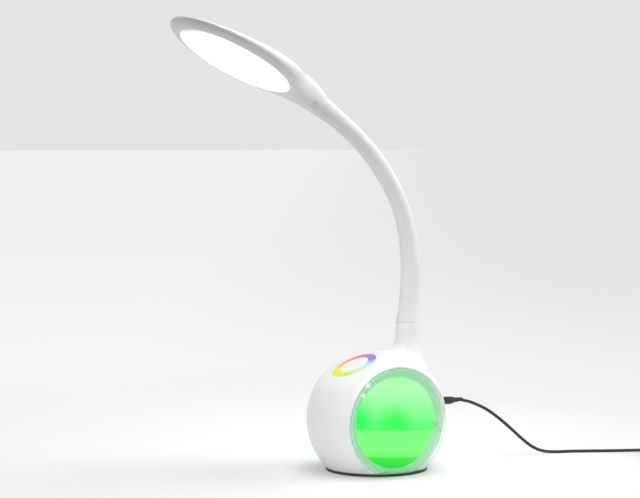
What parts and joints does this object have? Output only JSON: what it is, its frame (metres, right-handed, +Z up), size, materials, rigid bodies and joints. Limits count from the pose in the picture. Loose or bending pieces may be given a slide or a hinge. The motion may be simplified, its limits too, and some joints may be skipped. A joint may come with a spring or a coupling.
{
  "type": "desk lamp",
  "caption": "Desk lamp with a bending arm, a flat round light head and a ball-shaped base with a colour ring, clear side domes and a green mood light.",
  "frame": {"origin": "centre of the rubber foot, on the surface that the lamp stands on", "axes": "+Z up, -Y the way that the lamp head reaches, +X to the side of the right mood light"},
  "size_m": [0.2501, 0.59, 0.4849],
  "materials": {
    "white_shell": "smooth satin-gloss moulding",
    "white_sleeve": "smooth matt soft-touch sleeve",
    "white_inner": "plain moulding",
    "clear_dome": "polished and clear",
    "green_light": "frosted, lit green from behind",
    "light_board": "white solder mask",
    "head_light": "frosted, lit white from behind",
    "light_guide": "polished and clear",
    "led_plate": "rolled sheet",
    "colour_ring": "polished, printed with a ring of rainbow colours",
    "green_board": "solder mask",
    "black_rubber": "matt",
    "black_plastic": "fine matt texture",
    "steel": "plain turned or drawn metal"
  },
  "bodies": {
    "base": {"foot_ring": "black_rubber", "bottom_plate": "white_inner", "ballast_weight": "steel", "ballast_screws": "steel", "lower_shell": "white_shell", "upper_shell": "white_shell", "base_screws": "steel", "control_board": "green_board", "touch_board": "green_board", "colour_ring": "colour_ring", "dc_jack": "black_rubber", "left_dome": "clear_dome", "left_diffuser": "green_light", "left_light_tray": "white_inner", "left_led_board": "light_board", "right_dome": "clear_dome", "right_diffuser": "green_light", "right_light_tray": "white_inner", "right_led_board": "light_board", "neck_ferrule": "steel", "neck_nut": "steel", "arm_sleeve_foot": "white_sleeve", "arm_spine_foot": "steel", "dc_plug": "black_rubber", "dc_plug_tip": "steel", "cord_run": "black_rubber", "cord_coil": "black_rubber", "coil_tie": "black_plastic", "adapter_relief": "black_rubber", "adapter_body": "black_plastic", "adapter_pins": "steel"},
    "arm_1": {"arm_sleeve_1": "white_sleeve", "arm_spine_1": "steel"},
    "arm_2": {"arm_sleeve_2": "white_sleeve", "arm_spine_2": "steel"},
    "arm_3": {"arm_sleeve_3": "white_sleeve", "arm_spine_3": "steel"},
    "arm_4": {"arm_sleeve_4": "white_sleeve", "arm_spine_4": "steel"},
    "arm_5": {"arm_sleeve_5": "white_sleeve", "arm_spine_5": "steel"},
    "arm_6": {"arm_sleeve_6": "white_sleeve", "arm_spine_6": "steel"},
    "arm_7": {"arm_sleeve_7": "white_sleeve", "arm_spine_7": "steel"},
    "head": {"arm_sleeve_end": "white_sleeve", "arm_spine_end": "steel", "head_ferrule": "steel", "head_top_cover": "white_shell", "head_bottom_cover": "white_shell", "head_diffuser": "head_light", "light_guide": "light_guide", "head_led_plate": "led_plate", "neck_screws": "steel", "screw_covers": "white_shell"}
  },
  "joints": [
    {"name": "arm_bend_1", "type": "hinge", "parent": "base", "child": "arm_1", "pos_m": [0, 0.04273, 0.18992], "axis": [1, 0, 0], "range_deg": [-25, 14]},
    {"name": "arm_side_2", "type": "hinge", "parent": "arm_1", "child": "arm_2", "pos_m": [0, 0.04326, 0.2199], "axis": [0, 0.9994, 0.0349], "range_deg": [-20, 20]},
    {"name": "arm_bend_3", "type": "hinge", "parent": "arm_2", "child": "arm_3", "pos_m": [0, 0.04012, 0.24971], "axis": [1, 0, 0], "range_deg": [-25, 14]},
    {"name": "arm_bend_4", "type": "hinge", "parent": "arm_3", "child": "arm_4", "pos_m": [0, 0.03212, 0.27858], "axis": [1, 0, 0], "range_deg": [-25, 14]},
    {"name": "arm_side_5", "type": "hinge", "parent": "arm_4", "child": "arm_5", "pos_m": [0, 0.01898, 0.30551], "axis": [0, 0.8572, 0.515], "range_deg": [-20, 20]},
    {"name": "arm_bend_6", "type": "hinge", "parent": "arm_5", "child": "arm_6", "pos_m": [0, 0.002, 0.33022], "axis": [1, 0, 0], "range_deg": [-25, 14]},
    {"name": "arm_side_7", "type": "hinge", "parent": "arm_6", "child": "arm_7", "pos_m": [0, -0.01806, 0.35249], "axis": [0, 0.6947, 0.7193], "range_deg": [-20, 20]},
    {"name": "arm_bend_8", "type": "hinge", "parent": "arm_7", "child": "head", "pos_m": [0, -0.04069, 0.37217], "axis": [1, 0, 0], "range_deg": [-25, 14]}
  ]
}
